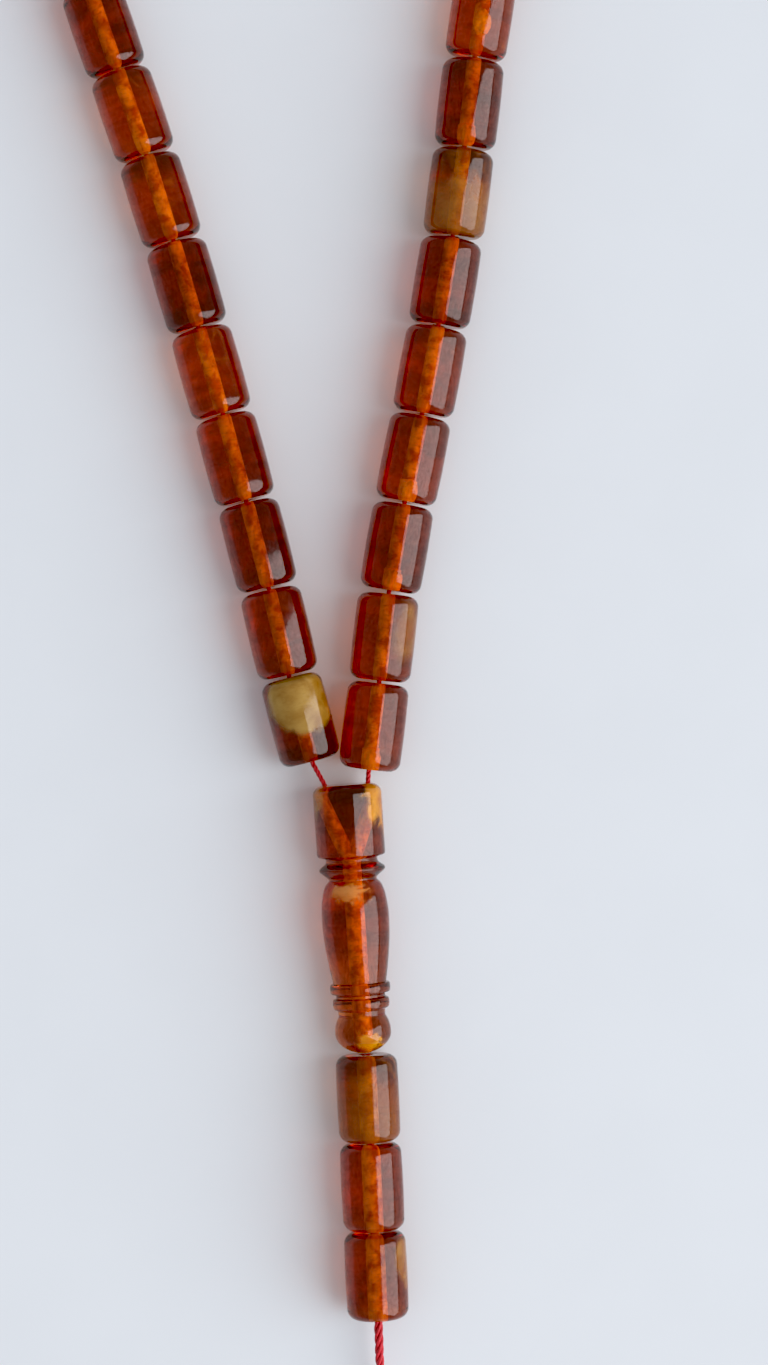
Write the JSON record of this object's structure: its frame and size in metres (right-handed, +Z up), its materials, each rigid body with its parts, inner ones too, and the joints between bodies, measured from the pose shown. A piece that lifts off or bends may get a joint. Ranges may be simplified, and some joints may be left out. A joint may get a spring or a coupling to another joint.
{
  "type": "misbaha prayer beads",
  "caption": "Loop of translucent amber barrel beads on a twisted red cord, joined by a long turned imam bead, with tail beads and a tassel, laid flat.",
  "frame": {"origin": "on the surface it lies on, under the middle of the box round its beads (the free cord and tassel left out)", "axes": "+Z up, +Y from the tail towards the far end of the loop, +X to the right seen from above"},
  "size_m": [0.0763, 0.3401, 0.0089],
  "materials": {
    "amber_red": "polished, translucent",
    "amber_honey": "polished, translucent, cloudy",
    "cord_red": "twisted plies",
    "tassel_silk": "silky strands",
    "binding_thread": "wound thread"
  },
  "bodies": {
    "imam": {"imam": "amber_red", "imam_cord": "cord_red"},
    "strand": {"loop_cord": "cord_red"},
    "bead_01": {"bead_01": "amber_red"},
    "bead_02": {"bead_02": "amber_red"},
    "bead_03": {"bead_03": "amber_red"},
    "bead_04": {"bead_04": "amber_red"},
    "bead_05": {"bead_05": "amber_honey"},
    "bead_06": {"bead_06": "amber_red"},
    "bead_07": {"bead_07": "amber_honey"},
    "bead_08": {"bead_08": "amber_honey"},
    "bead_09": {"bead_09": "amber_red"},
    "bead_10": {"bead_10": "amber_red"},
    "bead_11": {"bead_11": "amber_red"},
    "divider_left": {"divider_left": "amber_honey"},
    "bead_12": {"bead_12": "amber_red"},
    "bead_13": {"bead_13": "amber_honey"},
    "bead_14": {"bead_14": "amber_red"},
    "bead_15": {"bead_15": "amber_red"},
    "bead_16": {"bead_16": "amber_honey"},
    "bead_17": {"bead_17": "amber_red"},
    "bead_18": {"bead_18": "amber_red"},
    "bead_19": {"bead_19": "amber_honey"},
    "bead_20": {"bead_20": "amber_red"},
    "bead_21": {"bead_21": "amber_red"},
    "bead_22": {"bead_22": "amber_honey"},
    "divider_right": {"divider_right": "amber_honey"},
    "bead_23": {"bead_23": "amber_red"},
    "bead_24": {"bead_24": "amber_red"},
    "bead_25": {"bead_25": "amber_honey"},
    "bead_26": {"bead_26": "amber_red"},
    "bead_27": {"bead_27": "amber_honey"},
    "bead_28": {"bead_28": "amber_red"},
    "bead_29": {"bead_29": "amber_red"},
    "bead_30": {"bead_30": "amber_red"},
    "bead_31": {"bead_31": "amber_red"},
    "bead_32": {"bead_32": "amber_red"},
    "bead_33": {"bead_33": "amber_red"},
    "tail": {"tail_core": "cord_red", "tail_cord": "cord_red"},
    "tail_bead_1": {"tail_bead_1": "amber_honey"},
    "tail_bead_2": {"tail_bead_2": "amber_red"},
    "tail_bead_3": {"tail_bead_3": "amber_red"},
    "tassel": {"end_knot": "cord_red", "tassel_head": "tassel_silk", "tassel_binding": "binding_thread", "tassel_skirt": "tassel_silk"}
  },
  "joints": [
    {"name": "strand_swing", "type": "hinge", "parent": "imam", "child": "strand", "pos_m": [0.00689, -0.05697, 0.0045], "axis": [0, 0, 1], "range_deg": [-10, 10]},
    {"name": "bead_01_spin", "type": "hinge", "parent": "strand", "child": "bead_01", "pos_m": [0.00102, -0.04872, 0.004], "axis": [-0.2557, 0.9668, 0], "continuous": true},
    {"name": "bead_02_spin", "type": "hinge", "parent": "strand", "child": "bead_02", "pos_m": [-0.00174, -0.0376, 0.004], "axis": [-0.228, 0.9737, 0], "continuous": true},
    {"name": "bead_03_spin", "type": "hinge", "parent": "strand", "child": "bead_03", "pos_m": [-0.00447, -0.02643, 0.004], "axis": [-0.2473, 0.9689, 0], "continuous": true},
    {"name": "bead_04_spin", "type": "hinge", "parent": "strand", "child": "bead_04", "pos_m": [-0.00739, -0.01532, 0.004], "axis": [-0.2609, 0.9654, 0], "continuous": true},
    {"name": "bead_05_spin", "type": "hinge", "parent": "strand", "child": "bead_05", "pos_m": [-0.01044, -0.00426, 0.004], "axis": [-0.2696, 0.963, 0], "continuous": true},
    {"name": "bead_06_spin", "type": "hinge", "parent": "strand", "child": "bead_06", "pos_m": [-0.01359, 0.00678, 0.004], "axis": [-0.2792, 0.9602, 0], "continuous": true},
    {"name": "bead_07_spin", "type": "hinge", "parent": "strand", "child": "bead_07", "pos_m": [-0.01691, 0.01779, 0.004], "axis": [-0.2985, 0.9544, 0], "continuous": true},
    {"name": "bead_08_spin", "type": "hinge", "parent": "strand", "child": "bead_08", "pos_m": [-0.02048, 0.02873, 0.004], "axis": [-0.323, 0.9464, 0], "continuous": true},
    {"name": "bead_09_spin", "type": "hinge", "parent": "strand", "child": "bead_09", "pos_m": [-0.02421, 0.03956, 0.004], "axis": [-0.3259, 0.9454, 0], "continuous": true},
    {"name": "bead_10_spin", "type": "hinge", "parent": "strand", "child": "bead_10", "pos_m": [-0.02781, 0.05051, 0.004], "axis": [-0.2994, 0.9541, 0], "continuous": true},
    {"name": "bead_11_spin", "type": "hinge", "parent": "strand", "child": "bead_11", "pos_m": [-0.03098, 0.06165, 0.004], "axis": [-0.2479, 0.9688, 0], "continuous": true},
    {"name": "divider_left_spin", "type": "hinge", "parent": "strand", "child": "divider_left", "pos_m": [-0.0328, 0.0692, 0.004], "axis": [-0.1915, 0.9815, 0], "continuous": true},
    {"name": "bead_12_spin", "type": "hinge", "parent": "strand", "child": "bead_12", "pos_m": [-0.03376, 0.07696, 0.004], "axis": [-0.0974, 0.9952, 0], "continuous": true},
    {"name": "bead_13_spin", "type": "hinge", "parent": "strand", "child": "bead_13", "pos_m": [-0.03389, 0.08875, 0.004], "axis": [0.077, 0.997, 0], "continuous": true},
    {"name": "bead_14_spin", "type": "hinge", "parent": "strand", "child": "bead_14", "pos_m": [-0.03115, 0.10048, 0.004], "axis": [0.3735, 0.9276, 0], "continuous": true},
    {"name": "bead_15_spin", "type": "hinge", "parent": "strand", "child": "bead_15", "pos_m": [-0.0246, 0.11067, 0.004], "axis": [0.6896, 0.7242, 0], "continuous": true},
    {"name": "bead_16_spin", "type": "hinge", "parent": "strand", "child": "bead_16", "pos_m": [-0.01452, 0.11753, 0.004], "axis": [0.928, 0.3725, 0], "continuous": true},
    {"name": "bead_17_slide", "type": "slide", "parent": "strand", "child": "bead_17", "axis": [0.9953, 0.0969, 0], "range_m": [0, 0.006]},
    {"name": "bead_18_spin", "type": "hinge", "parent": "strand", "child": "bead_18", "pos_m": [0.01572, 0.11985, 0.004], "axis": [0.9535, -0.3014, 0], "continuous": true},
    {"name": "bead_19_spin", "type": "hinge", "parent": "strand", "child": "bead_19", "pos_m": [0.02586, 0.11318, 0.004], "axis": [0.6626, -0.7489, 0], "continuous": true},
    {"name": "bead_20_spin", "type": "hinge", "parent": "strand", "child": "bead_20", "pos_m": [0.03188, 0.10265, 0.004], "axis": [0.3125, -0.9499, 0], "continuous": true},
    {"name": "bead_21_spin", "type": "hinge", "parent": "strand", "child": "bead_21", "pos_m": [0.03404, 0.0909, 0.004], "axis": [0.0489, -0.9988, 0], "continuous": true},
    {"name": "bead_22_spin", "type": "hinge", "parent": "strand", "child": "bead_22", "pos_m": [0.03327, 0.07897, 0.004], "axis": [-0.1741, -0.9847, 0], "continuous": true},
    {"name": "divider_right_spin", "type": "hinge", "parent": "strand", "child": "divider_right", "pos_m": [0.03177, 0.07137, 0.004], "axis": [-0.2495, -0.9684, 0], "continuous": true},
    {"name": "bead_23_spin", "type": "hinge", "parent": "strand", "child": "bead_23", "pos_m": [0.02963, 0.06398, 0.004], "axis": [-0.2871, -0.9579, 0], "continuous": true},
    {"name": "bead_24_spin", "type": "hinge", "parent": "strand", "child": "bead_24", "pos_m": [0.0265, 0.05289, 0.004], "axis": [-0.2539, -0.9672, 0], "continuous": true},
    {"name": "bead_25_spin", "type": "hinge", "parent": "strand", "child": "bead_25", "pos_m": [0.02413, 0.04145, 0.004], "axis": [-0.1531, -0.9882, 0], "continuous": true},
    {"name": "bead_26_spin", "type": "hinge", "parent": "strand", "child": "bead_26", "pos_m": [0.02259, 0.03001, 0.004], "axis": [-0.1134, -0.9935, 0], "continuous": true},
    {"name": "bead_27_spin", "type": "hinge", "parent": "strand", "child": "bead_27", "pos_m": [0.02121, 0.0186, 0.004], "axis": [-0.1291, -0.9916, 0], "continuous": true},
    {"name": "bead_28_spin", "type": "hinge", "parent": "strand", "child": "bead_28", "pos_m": [0.01953, 0.0072, 0.004], "axis": [-0.1609, -0.987, 0], "continuous": true},
    {"name": "bead_29_spin", "type": "hinge", "parent": "strand", "child": "bead_29", "pos_m": [0.01757, -0.00413, 0.004], "axis": [-0.1804, -0.9836, 0], "continuous": true},
    {"name": "bead_30_spin", "type": "hinge", "parent": "strand", "child": "bead_30", "pos_m": [0.01541, -0.01541, 0.004], "axis": [-0.1944, -0.9809, 0], "continuous": true},
    {"name": "bead_31_spin", "type": "hinge", "parent": "strand", "child": "bead_31", "pos_m": [0.01331, -0.02673, 0.004], "axis": [-0.1698, -0.9855, 0], "continuous": true},
    {"name": "bead_32_spin", "type": "hinge", "parent": "strand", "child": "bead_32", "pos_m": [0.01169, -0.0382, 0.004], "axis": [-0.1101, -0.9939, 0], "continuous": true},
    {"name": "bead_33_spin", "type": "hinge", "parent": "strand", "child": "bead_33", "pos_m": [0.01039, -0.04958, 0.004], "axis": [-0.1179, -0.993, 0], "continuous": true},
    {"name": "tail_swing", "type": "hinge", "parent": "imam", "child": "tail", "pos_m": [0.00929, -0.09142, 0.004], "axis": [0, 0, 1], "range_deg": [-15, 15]},
    {"name": "tail_bead_1_spin", "type": "hinge", "parent": "tail", "child": "tail_bead_1", "pos_m": [0.00965, -0.09712, 0.004], "axis": [0.0469, -0.9989, 0], "continuous": true},
    {"name": "tail_bead_2_spin", "type": "hinge", "parent": "tail", "child": "tail_bead_2", "pos_m": [0.01018, -0.10845, 0.004], "axis": [0.0469, -0.9989, 0], "continuous": true},
    {"name": "tail_bead_3_slide", "type": "slide", "parent": "tail", "child": "tail_bead_3", "axis": [0.0469, -0.9989, 0], "range_m": [0, 0.002]},
    {"name": "tassel_swing", "type": "hinge", "parent": "tail", "child": "tassel", "pos_m": [0.00934, -0.16237, 0.003], "axis": [0, 0, 1], "range_deg": [-35, 35]}
  ]
}
